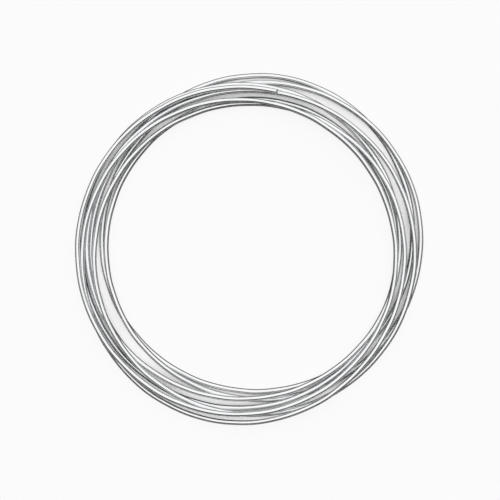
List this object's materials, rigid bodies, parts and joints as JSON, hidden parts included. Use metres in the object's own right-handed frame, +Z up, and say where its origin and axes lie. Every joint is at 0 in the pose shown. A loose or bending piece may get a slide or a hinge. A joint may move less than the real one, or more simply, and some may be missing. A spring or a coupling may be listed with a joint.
{
  "type": "coil of aluminium craft wire",
  "caption": "Loose flat ring of bright round aluminium wire, its turns lying over one another, with a clear open eye.",
  "frame": {"origin": "centre of the coil, on the level surface that it lies on", "axes": "+Z up along the coil's axis; the cut end that shows lies on top near +Y, and points to +X"},
  "size_m": [0.143, 0.143, 0.008],
  "materials": {
    "wire": "bright drawn, soft temper"
  },
  "bodies": {
    "root": {"wire_coil": "wire"}
  },
  "joints": []
}
